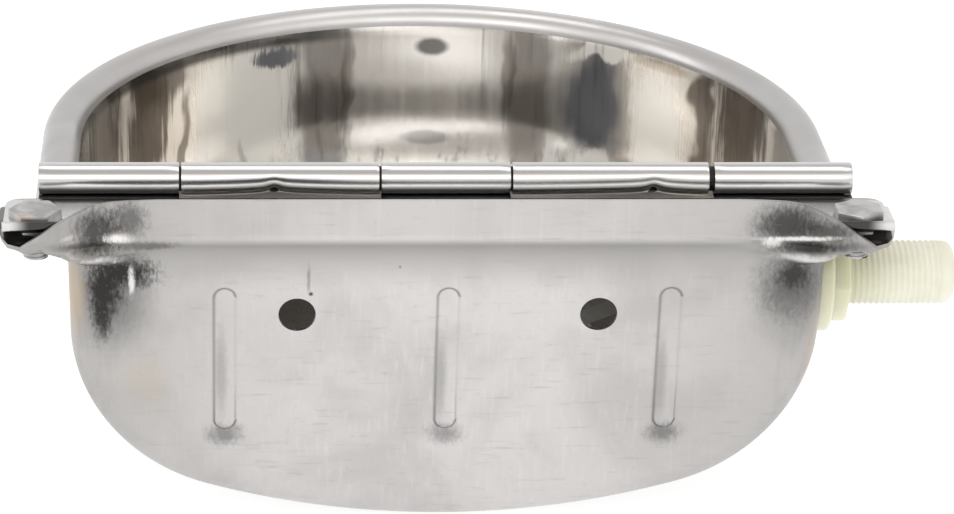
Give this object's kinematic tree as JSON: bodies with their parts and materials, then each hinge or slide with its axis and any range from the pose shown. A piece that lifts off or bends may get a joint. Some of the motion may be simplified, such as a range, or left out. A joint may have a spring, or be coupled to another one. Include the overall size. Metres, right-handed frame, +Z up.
{
  "type": "livestock drinking bowl",
  "caption": "D-shaped pressed steel drinking bowl with rolled rim, flat wall-mount back, hinged flap, lever float valve and side threaded inlet.",
  "frame": {"origin": "midway between the two wall holes, on the rear face of the back panel", "axes": "+X to the right seen from behind, along the hinge; +Y from the wall towards the drinking animal; +Z up"},
  "size_m": [0.3093, 0.2378, 0.1201],
  "materials": {
    "satin_steel": "satin stainless outside, polished inside",
    "polished_steel": "polished stainless",
    "bolt_steel": "plain stainless fastener",
    "ivory_nylon": "moulded ivory nylon",
    "white_nylon": "moulded white plastic",
    "brass": "turned brass",
    "black_rubber": "black rubber"
  },
  "bodies": {
    "bowl": {"bowl_shell": "satin_steel", "hinge_strip": "polished_steel", "ear_bolt_left": "bolt_steel", "ear_bolt_right": "bolt_steel", "ear_nut_left": "bolt_steel", "ear_nut_right": "bolt_steel", "valve_body": "ivory_nylon", "outer_washer": "ivory_nylon", "lock_nut": "ivory_nylon", "wall_gasket": "black_rubber", "seat_nozzle": "brass", "lever_pin": "bolt_steel", "split_pin": "bolt_steel"},
    "flap": {"cover_flap": "satin_steel", "hinge_pin": "polished_steel"},
    "float_arm": {"float_lever": "white_nylon", "float_upper_shell": "white_nylon", "float_lower_shell": "white_nylon", "float_stud": "bolt_steel", "float_nut": "bolt_steel"},
    "plunger": {"plunger": "white_nylon", "plunger_seal": "black_rubber"}
  },
  "joints": [
    {"name": "flap_hinge", "type": "hinge", "parent": "bowl", "child": "flap", "pos_m": [0, 0.0287, 0.03542], "axis": [1, 0, 0], "range_deg": [0, 140]},
    {"name": "float_lever_pivot", "type": "hinge", "parent": "bowl", "child": "float_arm", "pos_m": [0.0808, 0.0286, -0.0053], "axis": [0, 1, 0], "range_deg": [0, 21.48]},
    {"name": "plunger_slide", "type": "slide", "parent": "bowl", "child": "plunger", "axis": [1, 0, 0], "range_m": [0, 0.003]}
  ],
  "couplings": [
    {"joint": "plunger_slide", "follows": "float_lever_pivot", "m_per_rad": 0.008}
  ]
}
